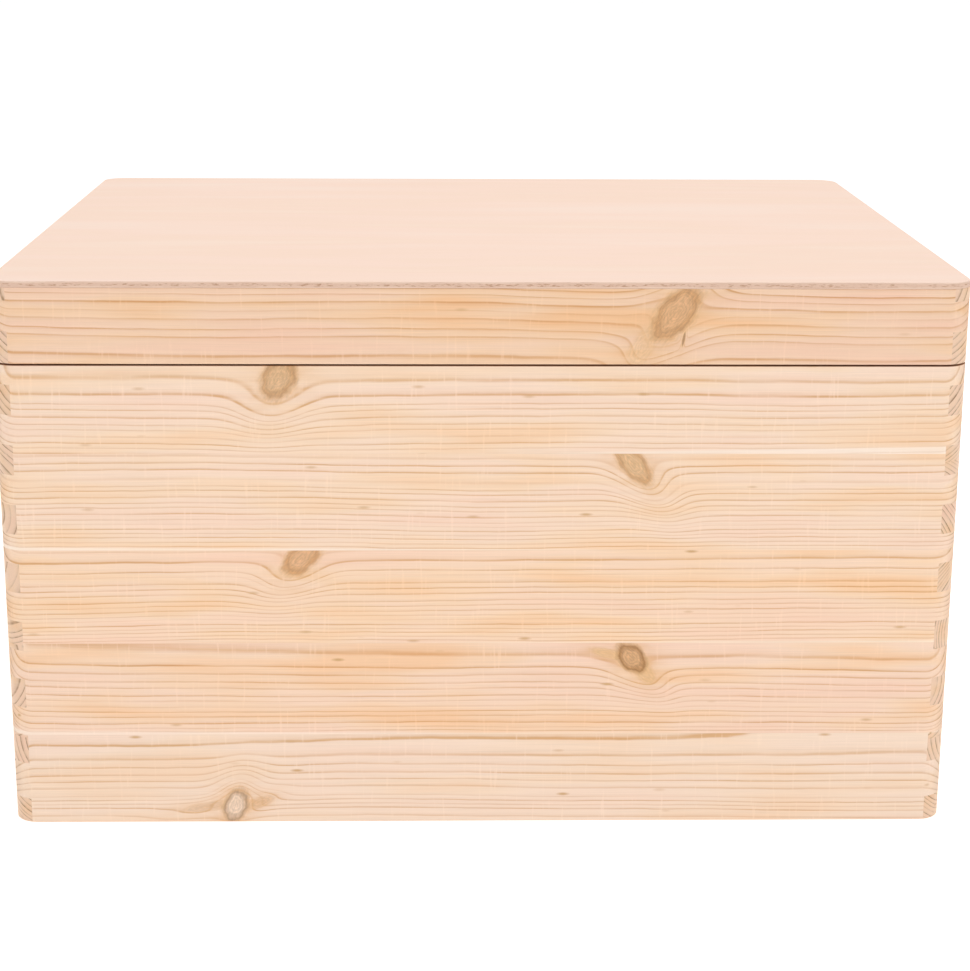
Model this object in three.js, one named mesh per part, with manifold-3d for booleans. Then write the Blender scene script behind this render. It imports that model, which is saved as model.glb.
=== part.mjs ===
// Wooden toy box: a pine chest with finger-jointed, rounded corners and a hinged lid.
// The case walls are edge-glued from boards, the lid is a pine frame under a thin plywood
// sheet, two butt hinges carry the lid on the back, and a slotted stay stops it when open.
// Millimetres, +Z up, front towards -Y. The origin is on the floor at the middle of the box,
// hinges included.

import * as THREE from 'three';
import Module from 'manifold-3d';
import { mergeVertices } from 'three/addons/utils/BufferGeometryUtils.js';

// Overall sizes, outside.
const boxWidth = 600;
const boxDepth = 500;
const caseHeight = 300;
const cornerRadius = 16;

// Flats on a quarter of a box corner, round a turned piece and round a wood screw.
const cornerSteps = 6;
const roundSides = 16;
const screwSides = 12;

// Walls, and the heights of each wall's boards from the rim down.
const wallThickness = 12;
const frontBoards = [55.1, 62.3, 61.1, 61.4, 60.1];
const backBoards = [59, 62, 58, 61, 60];
const leftBoards = [56, 64, 60, 62, 58];
const rightBoards = [60.6, 61.2, 61.2, 61.3, 55.7];

// Finger joints of the case: the front wall has the rim finger, the side wall the foot finger.
const fingerWidth = 19.05;
const rimFinger = 12;
const footFinger = 16;

// Plywood floor, let into a groove in the walls.
const floorThickness = 6;
const floorRise = 8;
const grooveDepth = 6;
const grooveSlack = 0.5;

// Oval hand holes, one through each side wall.
const handHoleLength = 100;
const handHoleHeight = 28;
const handHoleDrop = 89;

// Lid.
const seamGap = 1.2;
const railHeight = 46.8;
const topThickness = 4;
const railSideFinger = 20;
const railFrontFinger = 18.9;

// Butt hinges on the outside of the back.
const hingeLength = 60;
const hingeInset = 110;
const leafThickness = 1.5;
const leafHeight = 18;
const barrelRadius = 3;
const barrelStandOff = 0.3;
const pinRadius = 1.5;
const pinClearance = 0.15;
const pinHeadRadius = 2.3;
const pinHeadThickness = 0.8;
const knuckleCount = 5;
const knuckleGap = 0.3;
const hingeScrewPitch = 21;
const hingeScrewLength = 11;
const screwHeadRadius = 2.9;
const screwShankRadius = 1.4;
const screwClearance = 0.3;

// Slotted lid stay inside the right wall. Both its screws are stayReach from the hinge axis.
const stayReach = 120;
const stayPivotRise = 20;
const stayGuideDrop = 30;
const stayThickness = 2;
const stayWidth = 16;
const stayStandOff = 1;
const stayShoulderRadius = 2.6;
const stayClearance = 0.25;
const stayHeadRadius = 5.5;
const stayHeadThickness = 2.4;
const stayScrewDepth = 9.5;
const stayEndMargin = 4;
const washerRadius = 6.5;
const lidOpening = 100;

// Places that follow from the sizes.
const halfWidth = boxWidth / 2;
const halfDepth = boxDepth / 2;
const innerX = halfWidth - wallThickness;
const innerY = halfDepth - wallThickness;
const lidBottom = caseHeight + seamGap;
const railTop = lidBottom + railHeight;
const lidTop = railTop + topThickness;
const hingeY = halfDepth + barrelStandOff + barrelRadius;
const hingeZ = caseHeight + seamGap / 2;

const wasm = await Module();
wasm.setup();

const finishes = {
  pine: { color: 0xf2d3b1, roughness: 0.62, metalness: 0 },
  plywood: { color: 0xf6dfc9, roughness: 0.6, metalness: 0 },
  zinc: { color: 0xb9bcc0, roughness: 0.35, metalness: 1 },
  nylon: { color: 0xe8e6df, roughness: 0.5, metalness: 0 },
};

const toyBox = new THREE.Group();
// The hinge barrels stand proud of the back, so the box moves forward by half of that.
toyBox.position.y = -(hingeY + barrelRadius - halfDepth) / 2;

// A closed geometry as a manifold solid, its corners merged.
function solid(geometry) {
  const bare = geometry.clone();
  bare.deleteAttribute('normal');
  bare.deleteAttribute('uv');
  const welded = mergeVertices(bare, 1e-5);
  const mesh = new wasm.Mesh({
    numProp: 3,
    vertProperties: new Float32Array(welded.attributes.position.array),
    triVerts: new Uint32Array(welded.index.array),
  });
  return new wasm.Manifold(mesh);
}

function geometryOf(manifold) {
  const mesh = manifold.getMesh();
  const geometry = new THREE.BufferGeometry();
  geometry.setAttribute('position', new THREE.BufferAttribute(mesh.vertProperties, 3));
  geometry.setIndex(new THREE.BufferAttribute(mesh.triVerts, 1));
  geometry.computeVertexNormals();
  return geometry;
}

function addPiece(group, name, geometry, finish) {
  const mesh = new THREE.Mesh(geometry, new THREE.MeshStandardMaterial(finishes[finish]));
  mesh.name = name;
  group.add(mesh);
  return mesh;
}

// A solid box between two corners. Its faces lie on exactly the given values.
function block(low, high) {
  const geometry = new THREE.BoxGeometry(1, 1, 1);
  const position = geometry.attributes.position;
  for (let i = 0; i < position.count; i += 1) {
    const corner = [position.getX(i), position.getY(i), position.getZ(i)];
    position.setXYZ(i, ...corner.map((value, axis) => (value < 0 ? low[axis] : high[axis])));
  }
  return solid(geometry);
}

function rod(radius, length, sides = roundSides) {
  return new THREE.CylinderGeometry(radius, radius, length, sides);
}

// The plan of the box, a rectangle with round corners, from below the floor to above the lid.
function roundedPlan() {
  const plan = new THREE.Shape();
  const cx = halfWidth - cornerRadius;
  const cy = halfDepth - cornerRadius;
  const quarter = Math.PI / 2;
  [[cx, cy], [-cx, cy], [-cx, -cy], [cx, -cy]].forEach(([x, y], turn) => {
    plan.absarc(x, y, cornerRadius, turn * quarter, (turn + 1) * quarter);
  });
  const depth = 2 * lidTop;
  const options = { depth, bevelEnabled: false, curveSegments: cornerSteps };
  return solid(new THREE.ExtrudeGeometry(plan, options).translate(0, 0, -depth / 4));
}

const boxPlan = roundedPlan();

// Heights of the side walls' fingers. The front and back walls have the heights between.
function caseSideFingers() {
  const spans = [[0, footFinger]];
  let top = caseHeight - rimFinger;
  while (top - fingerWidth >= footFinger + fingerWidth / 2) {
    spans.push([top - fingerWidth, top]);
    top -= 2 * fingerWidth;
  }
  return spans;
}

function railSideFingers() {
  const spans = [];
  for (let low = lidBottom; low < railTop; low += railSideFinger + railFrontFinger) {
    spans.push([low, Math.min(low + railSideFinger, railTop)]);
  }
  return spans;
}

// The heights between one wall's fingers, from bottom to top.
function heightsBetween(spans, bottom, top) {
  const gaps = [];
  let from = bottom;
  [...spans].sort((a, b) => a[0] - b[0]).forEach(([low, high]) => {
    if (low > from) gaps.push([from, low]);
    from = high;
  });
  if (top > from) gaps.push([from, top]);
  return gaps;
}

// One board of a wall: its length runs along X in the front and back walls and along Y in the
// side walls. Both its ends are notched where the neighbouring walls have their fingers.
function board(wall, bottom, top, neighbourFingers) {
  const alongX = wall === 'front' || wall === 'back';
  const sign = wall === 'front' || wall === 'left' ? -1 : 1;
  const outer = sign * (alongX ? halfDepth : halfWidth);
  const inner = sign * (alongX ? innerY : innerX);
  const length = alongX ? halfWidth : halfDepth;
  const shoulder = alongX ? innerX : innerY;
  const [near, far] = [Math.min(outer, inner), Math.max(outer, inner)];
  const spot = (along, across, z) => (alongX ? [along, across, z] : [across, along, z]);
  let shape = block(spot(-length, near, bottom), spot(length, far, top));
  neighbourFingers.forEach(([low, high]) => {
    [[-length - 1, -shoulder], [shoulder, length + 1]].forEach(([from, to]) => {
      shape = shape.subtract(block(spot(from, near - 1, low), spot(to, far + 1, high)));
    });
  });
  return shape.intersect(boxPlan);
}

// The bottom and top of each of a wall's boards, from the rim down. The boards share evenly
// what the wall has over or under their listed heights, and the lowest ends on the floor.
function boardEdges(heights) {
  const listed = heights.reduce((sum, height) => sum + height, 0);
  const share = (caseHeight - listed) / heights.length;
  const edges = [caseHeight];
  heights.slice(0, -1).forEach((height) => edges.push(edges.at(-1) - height - share));
  edges.push(0);
  return edges.slice(1).map((bottom, i) => [bottom, edges[i]]);
}

// The plywood floor: full inside the walls, with a tongue along each side for the groove.
function floorShape(reach, low, high) {
  const lengthways = block([-innerX - reach, -innerY, low], [innerX + reach, innerY, high]);
  const crossways = block([-innerX, -innerY - reach, low], [innerX, innerY + reach, high]);
  return lengthways.add(crossways);
}

// A stadium-shaped cutter through both side walls.
function handHoleCutter() {
  const end = handHoleHeight / 2;
  const half = handHoleLength / 2 - end;
  const outline = new THREE.Shape();
  outline.absarc(half, 0, end, -Math.PI / 2, Math.PI / 2);
  outline.absarc(-half, 0, end, Math.PI / 2, 1.5 * Math.PI);
  const depth = boxWidth + 20;
  const cutter = new THREE.ExtrudeGeometry(outline, { depth, bevelEnabled: false });
  cutter.translate(0, 0, -depth / 2).rotateX(Math.PI / 2).rotateZ(Math.PI / 2);
  return solid(cutter.translate(0, 0, caseHeight - handHoleDrop));
}

const hingeCentres = [-1, 1].map((side) => side * (halfWidth - hingeInset));
const screwColumns = [-1, 0, 1].map((step) => step * hingeScrewPitch);
const leafNear = barrelRadius + screwClearance;
const leafScrewRise = leafNear + leafHeight / 2;

// Pilot holes for one leaf's screws, through the back wall or the back rail.
function hingePilots(side) {
  const depth = hingeScrewLength + screwClearance;
  const radius = screwShankRadius + screwClearance;
  return hingeCentres.flatMap((centre) => screwColumns.map((column) => {
    const hole = rod(radius, depth, screwSides);
    const y = halfDepth + leafThickness - depth / 2;
    return solid(hole.translate(centre + column, y, hingeZ + side * leafScrewRise));
  }));
}

// The stay's two screws, by their distances ahead of the hinge axis and their heights.
const stayPivotAhead = Math.sqrt(stayReach ** 2 - stayPivotRise ** 2);
const stayGuideAhead = Math.sqrt(stayReach ** 2 - stayGuideDrop ** 2);
const stayPivot = new THREE.Vector3(innerX, hingeY - stayPivotAhead, hingeZ + stayPivotRise);
const stayGuide = new THREE.Vector3(innerX, hingeY - stayGuideAhead, hingeZ - stayGuideDrop);

function stayPilot(place) {
  const depth = stayScrewDepth + screwClearance;
  const hole = rod(screwShankRadius + screwClearance, 2 * depth, screwSides);
  return solid(hole.rotateZ(Math.PI / 2).translate(place.x, place.y, place.z));
}

function buildCase() {
  const sideFingers = caseSideFingers();
  const frontFingers = heightsBetween(sideFingers, 0, caseHeight);
  const groove = floorShape(grooveDepth, floorRise, floorRise + floorThickness);
  const handHole = handHoleCutter();
  const walls = [
    ['front', frontBoards, sideFingers, [groove]],
    ['back', backBoards, sideFingers, [groove, ...hingePilots(-1)]],
    ['left', leftBoards, frontFingers, [groove, handHole]],
    ['right', rightBoards, frontFingers, [groove, handHole, stayPilot(stayGuide)]],
  ];
  walls.forEach(([wall, heights, notches, cutters]) => {
    boardEdges(heights).forEach(([bottom, top], i) => {
      const whole = board(wall, bottom, top, notches);
      const cut = cutters.reduce((shape, cutter) => shape.subtract(cutter), whole);
      addPiece(toyBox, `${wall}_board_${i + 1}`, geometryOf(cut), 'pine');
    });
  });
  const reach = grooveDepth - grooveSlack;
  const floor = floorShape(reach, floorRise, floorRise + floorThickness);
  addPiece(toyBox, 'bottom_panel', geometryOf(floor), 'plywood');
}

function buildLid() {
  const sideFingers = railSideFingers();
  const frontFingers = heightsBetween(sideFingers, lidBottom, railTop);
  const rails = [
    ['front', sideFingers, []],
    ['back', sideFingers, hingePilots(1)],
    ['left', frontFingers, []],
    ['right', frontFingers, [stayPilot(stayPivot)]],
  ];
  rails.forEach(([wall, notches, cutters]) => {
    const whole = board(wall, lidBottom, railTop, notches);
    const cut = cutters.reduce((shape, cutter) => shape.subtract(cutter), whole);
    addPiece(toyBox, `lid_${wall}_rail`, geometryOf(cut), 'pine');
  });
  const sheet = block([-halfWidth, -halfDepth, railTop], [halfWidth, halfDepth, lidTop]);
  addPiece(toyBox, 'lid_top_panel', geometryOf(sheet.intersect(boxPlan)), 'plywood');
}

// A closed turned piece about Y. The profile's radii and heights run upwards.
function turned(profile, sides = roundSides) {
  const points = profile.map(([radius, height]) => new THREE.Vector2(radius, height));
  return new THREE.LatheGeometry(points, sides);
}

// A countersunk screw pointing along -Y. Its flat head's face is at y = 0.
function countersunkScrew(headRadius, shankRadius) {
  return turned([
    [0, -hingeScrewLength], [shankRadius, shankRadius - hingeScrewLength],
    [shankRadius, shankRadius - headRadius], [headRadius, 0], [0, 0],
  ], screwSides);
}

// The hole for that screw in a hinge leaf, clear of it all round.
function countersink() {
  const headRadius = screwHeadRadius + 2 * screwClearance;
  const hole = countersunkScrew(headRadius, screwShankRadius + screwClearance);
  return hole.translate(0, screwClearance, 0);
}

// One leaf about the hinge axis: a plate, its knuckles rolled round the pin, and three
// countersunk holes. side is -1 for the leaf on the case and 1 for the leaf on the lid.
function leafShape(side, firstKnuckle) {
  const back = halfDepth - hingeY;
  const front = back + leafThickness;
  const knuckle = hingeLength / knuckleCount;
  const sorted = (a, b) => [Math.min(a, b), Math.max(a, b)];
  const [low, high] = sorted(side * leafNear, side * (leafNear + leafHeight));
  let shape = block([-hingeLength / 2, back, low], [hingeLength / 2, front, high]);
  for (let i = firstKnuckle; i < knuckleCount; i += 2) {
    const from = -hingeLength / 2 + i * knuckle + (i > 0 ? knuckleGap / 2 : 0);
    const to = -hingeLength / 2 + (i + 1) * knuckle - (i < knuckleCount - 1 ? knuckleGap / 2 : 0);
    const barrel = rod(barrelRadius, to - from).rotateZ(Math.PI / 2);
    const [neckLow, neckHigh] = sorted(0, side * (leafNear + 1));
    shape = shape.add(solid(barrel.translate((from + to) / 2, 0, 0)));
    shape = shape.add(block([from, back, neckLow], [to, front, neckHigh]));
  }
  const bore = rod(pinRadius + pinClearance, hingeLength + 2).rotateZ(Math.PI / 2);
  shape = shape.subtract(solid(bore));
  screwColumns.forEach((x) => {
    shape = shape.subtract(solid(countersink().translate(x, front, side * leafScrewRise)));
  });
  return geometryOf(shape);
}

function hingePinGeometry() {
  const end = hingeLength / 2 + knuckleGap;
  const crown = end + pinHeadThickness;
  const flat = pinHeadRadius - pinHeadThickness / 2;
  return turned([
    [0, -crown], [flat, -crown], [pinHeadRadius, -end], [pinRadius, -end],
    [pinRadius, end], [pinHeadRadius, end], [flat, crown], [0, crown],
  ]).rotateZ(Math.PI / 2);
}

function buildHinge(label, centre) {
  const hinge = new THREE.Group();
  hinge.position.set(centre, hingeY, hingeZ);
  toyBox.add(hinge);
  const front = halfDepth - hingeY + leafThickness;
  addPiece(hinge, `${label}_hinge_pin`, hingePinGeometry(), 'zinc');
  [['case', -1, 0], ['lid', 1, 1]].forEach(([leaf, side, firstKnuckle]) => {
    const name = `${label}_hinge_${leaf}_leaf`;
    addPiece(hinge, name, leafShape(side, firstKnuckle), 'zinc');
    screwColumns.forEach((x, i) => {
      const shape = countersunkScrew(screwHeadRadius, screwShankRadius);
      const screw = addPiece(hinge, `${name}_screw_${i + 1}`, shape, 'zinc');
      screw.position.set(x, front, side * leafScrewRise);
    });
  });
}

// Distance between the stay's two screws with the lid open by an angle in degrees.
function stayChord(angle) {
  const above = Math.asin(stayPivotRise / stayReach);
  const below = Math.asin(stayGuideDrop / stayReach);
  return 2 * stayReach * Math.sin((above + below + THREE.MathUtils.degToRad(angle)) / 2);
}

function stadium(from, to, radius) {
  const outline = new THREE.Shape();
  outline.absarc(0, to, radius, 0, Math.PI);
  outline.absarc(0, from, radius, Math.PI, 2 * Math.PI);
  return outline;
}

// The arm hangs down from its pivot at the origin, flat against the wall at x = 0.
function stayArmGeometry() {
  const play = stayShoulderRadius + stayClearance;
  const slotFrom = -stayChord(lidOpening);
  const outline = stadium(slotFrom - stayEndMargin, 0, stayWidth / 2);
  const slot = stadium(slotFrom, -stayChord(0), play);
  const eye = new THREE.Path();
  eye.absarc(0, 0, play, 0, 2 * Math.PI);
  outline.holes.push(slot, eye);
  const options = { depth: stayThickness, bevelEnabled: false, curveSegments: roundSides / 2 };
  const arm = new THREE.ExtrudeGeometry(outline, options);
  return arm.rotateX(Math.PI / 2).rotateZ(-Math.PI / 2).translate(-stayStandOff, 0, 0);
}

// A shoulder screw along X. The wall's face is at x = 0 and the head is inside the box.
function shoulderScrewGeometry() {
  const seat = stayStandOff + stayThickness + stayClearance;
  const crown = seat + stayHeadThickness;
  const round = stayHeadThickness / 2;
  return turned([
    [0, -stayScrewDepth], [screwShankRadius, screwShankRadius - stayScrewDepth],
    [screwShankRadius, 0], [stayShoulderRadius, 0], [stayShoulderRadius, seat],
    [stayHeadRadius, seat], [stayHeadRadius, crown - round],
    [stayHeadRadius - round, crown], [0, crown],
  ]).rotateZ(Math.PI / 2);
}

function washerGeometry() {
  const hole = stayShoulderRadius + stayClearance;
  const thickness = stayStandOff - stayClearance;
  return turned([
    [hole, 0], [washerRadius, 0], [washerRadius, thickness], [hole, thickness], [hole, 0],
  ]).rotateZ(Math.PI / 2);
}

function buildStay() {
  const arm = addPiece(toyBox, 'stay_arm', stayArmGeometry(), 'zinc');
  arm.position.copy(stayPivot);
  arm.rotation.x = Math.atan2(stayGuide.y - stayPivot.y, stayPivot.z - stayGuide.z);
  [['pivot', stayPivot], ['guide', stayGuide]].forEach(([label, place]) => {
    const screw = addPiece(toyBox, `stay_${label}_screw`, shoulderScrewGeometry(), 'zinc');
    screw.position.copy(place);
    const washer = addPiece(toyBox, `stay_${label}_washer`, washerGeometry(), 'nylon');
    washer.position.copy(place);
  });
}

buildCase();
buildLid();
buildHinge('left', hingeCentres[0]);
buildHinge('right', hingeCentres[1]);
buildStay();

export default toyBox;
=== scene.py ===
import math
import random

import bpy
from mathutils import Matrix, Vector


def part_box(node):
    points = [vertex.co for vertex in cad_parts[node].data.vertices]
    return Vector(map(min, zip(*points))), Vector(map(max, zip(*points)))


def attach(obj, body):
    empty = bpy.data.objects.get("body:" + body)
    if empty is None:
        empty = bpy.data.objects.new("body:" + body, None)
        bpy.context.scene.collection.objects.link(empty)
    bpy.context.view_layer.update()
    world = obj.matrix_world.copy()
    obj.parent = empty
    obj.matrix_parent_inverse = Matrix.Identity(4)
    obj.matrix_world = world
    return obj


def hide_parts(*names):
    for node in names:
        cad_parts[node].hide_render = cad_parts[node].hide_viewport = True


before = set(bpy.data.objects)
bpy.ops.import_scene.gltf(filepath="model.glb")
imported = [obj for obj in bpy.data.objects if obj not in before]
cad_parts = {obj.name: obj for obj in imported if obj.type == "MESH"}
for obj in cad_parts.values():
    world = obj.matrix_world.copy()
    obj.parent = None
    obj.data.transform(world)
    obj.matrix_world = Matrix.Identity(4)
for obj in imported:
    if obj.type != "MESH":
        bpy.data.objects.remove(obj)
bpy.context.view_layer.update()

MM = 0.001

# ---- Camera ----------------------------------------------------------------------------
# A long lens a metre and a half from the box and a quarter above its lid, nearly square to
# the front and looking a little down.

eye = Vector((-24.9, -1546.6, 575.3)) * MM
turn, tilt, lean = (math.radians(angle) for angle in (1.206, 15.167, 0.311))
lens_data = bpy.data.cameras.new("camera")
lens_data.sensor_width = 36
lens_data.lens = 80.2
camera = bpy.data.objects.new("camera", lens_data)
bpy.context.scene.collection.objects.link(camera)
camera.matrix_world = (
    Matrix.Translation(eye)
    @ Matrix.Rotation(-turn, 4, "Z")
    @ Matrix.Rotation(math.pi / 2 - tilt, 4, "X")
    @ Matrix.Rotation(lean, 4, "Z")
)
bpy.context.scene.camera = camera

# ---- Floor and light -------------------------------------------------------------------
# A table of white opal acrylic lit from below, in a white room, with three softboxes: a faint
# one in front, a strong one overhead and a faint one at the right.


def colour(code):
    """The linear colour and alpha of an sRGB hex code."""
    parts = [int(code[i:i + 2], 16) / 255 for i in (1, 3, 5)]
    return (*[c / 12.92 if c <= 0.04045 else ((c + 0.055) / 1.055) ** 2.4 for c in parts], 1)


def node(tree, kind, inputs=None, stops=None, **settings):
    """A new shader node. Each input takes a value, a socket, or a node's first output."""
    made = tree.nodes.new("ShaderNode" + kind)
    for name, value in settings.items():
        setattr(made, name, value)
    for key, value in (inputs or {}).items():
        if isinstance(value, bpy.types.Node):
            tree.links.new(value.outputs[0], made.inputs[key])
        elif isinstance(value, bpy.types.NodeSocket):
            tree.links.new(value, made.inputs[key])
        else:
            made.inputs[key].default_value = value
    if stops:
        elements = made.color_ramp.elements
        while len(elements) < len(stops):
            elements.new(1)
        for element, (place, value) in zip(elements, stops):
            element.position = place
            element.color = colour(value) if isinstance(value, str) else (value,) * 3 + (1,)
    return made


def new_material(name):
    """A material with an empty node tree."""
    material = bpy.data.materials.new(name)
    material.use_nodes = True
    material.node_tree.nodes.clear()
    return material, material.node_tree


def deselect_all():
    """Object mode, with nothing selected."""
    if bpy.context.object and bpy.context.object.mode != "OBJECT":
        bpy.ops.object.mode_set(mode="OBJECT")
    bpy.ops.object.select_all(action="DESELECT")


deselect_all()
bpy.ops.mesh.primitive_plane_add(size=60, location=(0, 0, -0.2 * MM))
bpy.ops.object.transform_apply(location=True)
floor = bpy.context.object
floor.name = "table"
# Milky and matt, it glows enough to lose the box's shadow and the room's far edge.
table_white, tree = new_material("opal_acrylic_table")
surface = node(tree, "BsdfPrincipled", {
    "Base Color": colour("#F4F4F4"), "Roughness": 0.6,
    "Emission Color": colour("#FFFFFF"), "Emission Strength": 0.56,
})
node(tree, "OutputMaterial", {"Surface": surface})
floor.data.materials.append(table_white)

room = bpy.data.worlds.new("white_room")
bpy.context.scene.world = room
room.use_nodes = True
room.node_tree.nodes["Background"].inputs["Color"].default_value = colour("#FFFFFF")
room.node_tree.nodes["Background"].inputs["Strength"].default_value = 0.5


def soft_light(name, place, target, width, height, power):
    """A rectangular softbox that faces a target."""
    data = bpy.data.lights.new(name, "AREA")
    data.shape = "RECTANGLE"
    data.size, data.size_y = width, height
    data.energy = power
    lamp = bpy.data.objects.new(name, data)
    bpy.context.scene.collection.objects.link(lamp)
    lamp.location = place
    aim = Vector(target) - Vector(place)
    lamp.rotation_euler = aim.to_track_quat("-Z", "Y").to_euler()


soft_light("front_softbox", (-0.9, -2.6, 2.3), (0, 0, 0.15), 2.4, 1.8, 8)
soft_light("overhead_softbox", (0, 0.2, 2.5), (0, 0.2, 0.35), 2.6, 2.6, 33)
soft_light("right_softbox", (2.4, -1.2, 1.7), (0, 0, 0.2), 1.4, 1.4, 7)
bpy.context.scene.view_settings.view_transform = "Standard"

# ---- Pine walls of the case ------------------------------------------------------------
# Each wall is glued up from five sawn pine boards, planed, finger jointed at the corners,
# rounded there and sanded flush, so a glue line shows only where the grain changes.

sheet_low, sheet_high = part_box("lid_top_panel")
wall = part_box("front_board_1")[1].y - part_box("front_board_1")[0].y
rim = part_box("front_board_1")[1].z
half_width = sheet_high.x
middle_y = (sheet_low.y + sheet_high.y) / 2
corner_radius = 16 * MM
corner_steps = 16
edge_ease = 0.25 * MM
finger, rim_finger, foot_finger = 19.05 * MM, 12 * MM, 16 * MM
proud = 2 * MM  # fingers are cut this much too long, and then trimmed flush


def block(name, low, high):
    """A box between two corners, with its place in its mesh."""
    deselect_all()
    low, high = Vector(low), Vector(high)
    bpy.ops.mesh.primitive_cube_add(size=1, location=(low + high) / 2, scale=high - low)
    bpy.ops.object.transform_apply(location=True, rotation=True, scale=True)
    made = bpy.context.object
    made.name = name
    return made


def edit(piece, wanted, mode="FACE"):
    """Edit mode, with only the wanted faces, edges or corners selected."""
    bpy.context.view_layer.objects.active = piece
    bpy.ops.object.mode_set(mode="OBJECT")
    kinds = ("VERT", "EDGE", "FACE")
    bpy.context.tool_settings.mesh_select_mode = [kind == mode for kind in kinds]
    mesh = piece.data
    for part in (*mesh.vertices, *mesh.edges, *mesh.polygons):
        part.select = False
    for part in (mesh.vertices, mesh.edges, mesh.polygons)[kinds.index(mode)]:
        part.select = bool(wanted(part))
    bpy.ops.object.mode_set(mode="EDIT")


def ends(piece, edge):
    """The two corners of an edge."""
    return [piece.data.vertices[i].co for i in edge.vertices]


def upright(piece, edge):
    """Whether an edge runs straight up."""
    a, b = ends(piece, edge)
    return abs(a.x - b.x) < 1e-6 and abs(a.y - b.y) < 1e-6


def apply_cut(piece, cutter, operation="DIFFERENCE", discard=False):
    """Applies a boolean modifier, and removes the cutter if it is no longer needed."""
    deselect_all()
    bpy.context.view_layer.objects.active = piece
    modifier = piece.modifiers.new("cut", "BOOLEAN")
    modifier.operation, modifier.solver, modifier.object = operation, "EXACT", cutter
    bpy.ops.object.modifier_apply(modifier="cut")
    if discard:
        bpy.data.objects.remove(cutter)


def envelope(name, bottom, top, ease):
    """The outside of the box between two heights: round corners and eased rims."""
    low, high = sheet_low.copy(), sheet_high.copy()
    low.z, high.z = bottom, top
    made = block(name, low, high)
    edit(made, lambda edge: upright(made, edge), "EDGE")
    bpy.ops.mesh.bevel(offset=corner_radius, segments=corner_steps, affect="EDGES")
    edit(made, lambda face: abs(face.normal.z) > 0.9)
    bpy.ops.mesh.region_to_loop()
    bpy.ops.mesh.bevel(offset=ease, segments=3, affect="EDGES")
    bpy.ops.object.mode_set(mode="OBJECT")
    return made


def case_side_fingers():
    """The heights of the side walls' fingers, from the rim down."""
    spans, top = [], rim - rim_finger
    while top - finger >= foot_finger + finger / 2:
        spans.append((top - finger, top))
        top -= 2 * finger
    return [*spans, (0, foot_finger)]


def heights_between(spans, bottom, top):
    """The other walls' fingers fill the heights between."""
    gaps, start = [], bottom
    for low, high in sorted(spans):
        if low > start:
            gaps.append((start, low))
        start = high
    return gaps + ([(start, top)] if top > start else [])


def jointed_board(name, cad_node, spans, outside):
    """A board with fingers at both ends, trimmed flush to the outside of the box."""
    low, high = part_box(cad_node)
    along = 0 if high.x - low.x > high.y - low.y else 1
    across = 1 - along
    middle = middle_y if along else 0
    reach = (sheet_high[along] - sheet_low[along]) / 2 - wall
    low[along], high[along] = middle - reach, middle + reach
    outward = 1 if low[across] > (0 if along else middle_y) else -1
    if outward > 0:
        low[across], high[across] = sheet_high[across] - wall, sheet_high[across] + proud
    else:
        low[across], high[across] = sheet_low[across] - proud, sheet_low[across] + wall
    made = block(name, low, high)
    for height in sorted({z for span in spans for z in span if low.z < z < high.z}):
        edit(made, lambda face: True)
        bpy.ops.mesh.bisect(plane_co=(0, 0, height), plane_no=(0, 0, 1))
    for side in (-1, 1):
        edit(made, lambda face: face.normal[along] * side > 0.9 and any(
            bottom < face.center.z < top for bottom, top in spans))
        slide = [0, 0, 0]
        slide[along] = side * (wall + proud)
        bpy.ops.mesh.extrude_region_move(TRANSFORM_OT_translate={"value": slide})
    bpy.ops.object.mode_set(mode="OBJECT")
    apply_cut(made, outside, "INTERSECT")
    return made


def finish_board(made):
    """Smooth corners, with flat faces kept flat."""
    deselect_all()
    made.select_set(True)
    bpy.context.view_layer.objects.active = made
    bpy.ops.object.shade_smooth_by_angle(angle=math.radians(20))
    flat = made.modifiers.new("flat", "WEIGHTED_NORMAL")
    flat.keep_sharp = True
    bpy.ops.object.modifier_apply(modifier="flat")


def knot(at, size, slope, push=0, core="#DDB68E", rim="#C9A078", depth=0.85):
    """A branch in a board: its place along and up it, its half length and half height in
    mm, its slope in degrees, how far up it draws the rings, its colours and its strength."""
    return dict(at=at, size=size, slope=slope, push=push, core=core, rim=rim, depth=depth)


endless = 1e5


def bent_round(tree, board, knots):
    """The board's coordinates, bent as the rings bend round its knots. Each knot comes back
    with its own coordinates, which are 1 at its rim, and how near it is."""
    grain, branches = board, []
    for branch in knots:
        own = node(tree, "Mapping", {
            "Vector": board, "Location": (branch["at"][0], 0, branch["at"][1]),
            "Rotation": (0, -math.radians(branch["slope"]), 0),
            "Scale": (branch["size"][0], endless, branch["size"][1]),
        }, vector_type="TEXTURE")
        square = node(tree, "VectorMath", {0: own, 1: own}, operation="DOT_PRODUCT")
        near = node(tree, "Math", {0: 0.72, 1: square.outputs["Value"]}, operation="POWER")
        pull = node(tree, "VectorMath", {
            0: grain, 1: (0, 0, 1), 2: (0, 0, -branch["at"][1] - branch["push"]),
        }, operation="MULTIPLY_ADD")
        shift = node(tree, "VectorMath", {0: pull, "Scale": near}, operation="SCALE")
        grain = node(tree, "VectorMath", {0: grain, 1: shift}, operation="SUBTRACT")
        branches.append((branch, own, near))
    return grain, branches


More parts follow.
